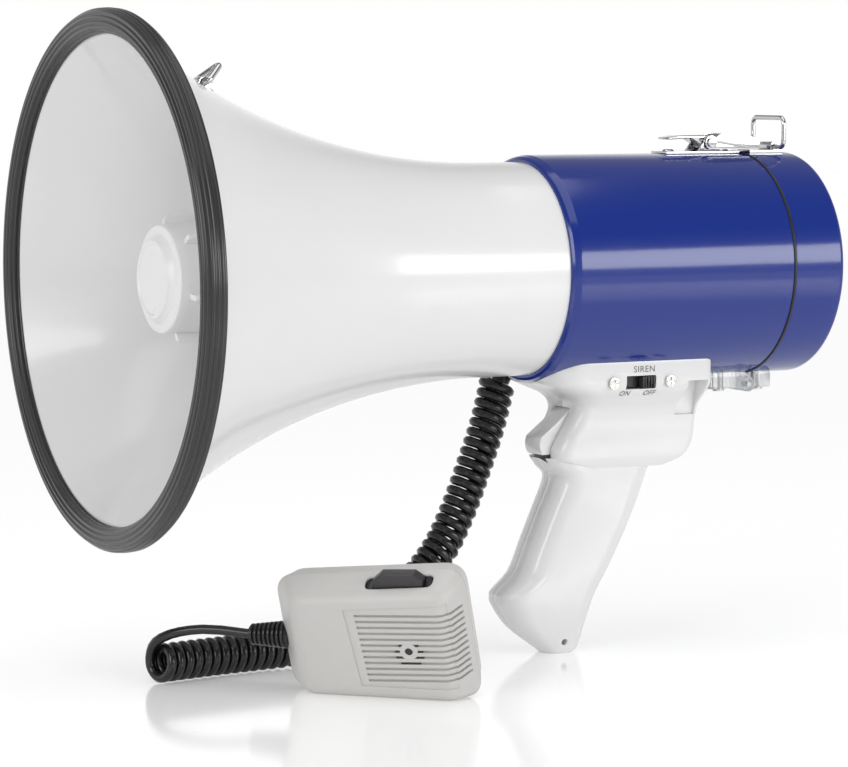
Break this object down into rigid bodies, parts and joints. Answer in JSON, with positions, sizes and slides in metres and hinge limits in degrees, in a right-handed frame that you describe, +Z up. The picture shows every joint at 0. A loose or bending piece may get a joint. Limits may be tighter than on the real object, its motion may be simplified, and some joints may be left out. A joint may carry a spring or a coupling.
{
  "type": "megaphone",
  "caption": "Hand-held megaphone with a reflex horn, pistol grip with trigger, hinged battery cap with a latch, and a fist microphone on a curly cord.",
  "frame": {"origin": "middle of the small flat foot at the bottom of the pistol grip, on the floor", "axes": "+X back along the horn from the mouth to the rear cap, +Z up, the siren switch's panel faces -Y"},
  "size_m": [0.3436, 0.23, 0.289],
  "materials": {
    "bell_white": "gloss",
    "rim_rubber": "satin",
    "reflector_white": "satin",
    "housing_blue": "gloss",
    "gasket_black": "matte",
    "chrome": "polished",
    "steel": "satin",
    "magnet_grey": "matte",
    "diaphragm_film": "satin",
    "copper": "satin",
    "inner_black": "matte",
    "cell_metal": "satin",
    "foam": "matte",
    "hinge_clear": "clear moulded plastic, gloss",
    "board_green": "satin",
    "aluminium_raw": "satin",
    "cord_black": "gloss",
    "mic_grey": "satin",
    "mic_button": "satin"
  },
  "bodies": {
    "megaphone": {"amp_board": "board_green", "amp_heatsink": "aluminium_raw", "amp_transformer": "inner_black", "battery_bulkhead": "inner_black", "battery_cells": "cell_metal", "battery_springs": "steel", "battery_tray": "inner_black", "cord_coil": "cord_black", "cord_gland": "cord_black", "cord_tail": "cord_black", "driver_back_plate": "steel", "driver_cover": "inner_black", "driver_diaphragm": "diaphragm_film", "driver_magnet": "magnet_grey", "driver_plate": "inner_black", "driver_seal_ring": "inner_black", "driver_top_plate": "steel", "driver_voice_coil": "copper", "front_strap_bracket": "chrome", "handle_left_shell": "bell_white", "handle_right_shell": "bell_white", "handle_screws": "steel", "hinge_leaf_fixed": "hinge_clear", "hinge_pin": "chrome", "hinge_screws": "steel", "horn_bell": "bell_white", "latch_base": "chrome", "latch_pin": "chrome", "latch_rivets": "chrome", "mic_back_shell": "mic_grey", "mic_board": "board_green", "mic_capsule": "inner_black", "mic_front_shell": "mic_grey", "mic_hanger": "mic_grey", "mic_screws": "steel", "mic_strain_relief": "cord_black", "rear_housing": "housing_blue", "reflector_cap": "reflector_white", "reflector_horn": "reflector_white", "rim_bumper": "rim_rubber", "seam_gasket": "gasket_black", "siren_screws": "steel", "siren_switch_body": "inner_black", "tone_tube": "reflector_white", "trigger_pin": "steel", "trigger_spring": "steel", "trigger_switch": "inner_black"},
    "rear_cap": {"rear_cap": "housing_blue", "cap_pad": "foam", "cap_catch": "chrome", "hinge_leaf_moving": "hinge_clear", "cap_hinge_screws": "steel"},
    "latch_lever": {"latch_lever": "chrome"},
    "latch_link": {"latch_link": "chrome"},
    "front_strap_ring": {"front_strap_ring": "chrome"},
    "rear_strap_ring": {"rear_strap_ring": "chrome"},
    "trigger": {"trigger": "bell_white"},
    "siren_knob": {"siren_knob": "inner_black"},
    "ptt_button": {"ptt_button": "mic_button"}
  },
  "joints": [
    {"name": "cap_hinge", "type": "hinge", "parent": "megaphone", "child": "rear_cap", "pos_m": [0.0962, 0, 0.1185], "axis": [0, 1, 0], "range_deg": [0, 105]},
    {"name": "latch_lever_pivot", "type": "hinge", "parent": "megaphone", "child": "latch_lever", "pos_m": [0.0777, 0, 0.2295], "axis": [0, 1, 0], "range_deg": [0, 80]},
    {"name": "latch_link_pivot", "type": "hinge", "parent": "megaphone", "child": "latch_link", "pos_m": [0.0777, 0, 0.2295], "axis": [0, -1, 0], "range_deg": [0, 45]},
    {"name": "front_strap_ring_swing", "type": "hinge", "parent": "megaphone", "child": "front_strap_ring", "pos_m": [-0.173, 0, 0.2574], "axis": [0, 1, 0], "range_deg": [-60, 25]},
    {"name": "rear_strap_ring_swing", "type": "hinge", "parent": "rear_cap", "child": "rear_strap_ring", "pos_m": [0.113, 0, 0.2272], "axis": [0, 1, 0], "range_deg": [-60, 75]},
    {"name": "trigger_pull", "type": "hinge", "parent": "megaphone", "child": "trigger", "pos_m": [0.008, 0, 0.107], "axis": [0, -1, 0], "range_deg": [0, 8], "stiffness_Nm_per_rad": 0.6, "springref_deg": -2.86},
    {"name": "siren_switch_slide", "type": "slide", "parent": "megaphone", "child": "siren_knob", "axis": [-1, 0, 0], "range_m": [0, 0.0065]},
    {"name": "ptt_press", "type": "slide", "parent": "megaphone", "child": "ptt_button", "axis": [0.2725, 0.2108, -0.9388], "range_m": [0, 0.002], "stiffness_N_per_m": 400, "springref_m": -0.001}
  ]
}
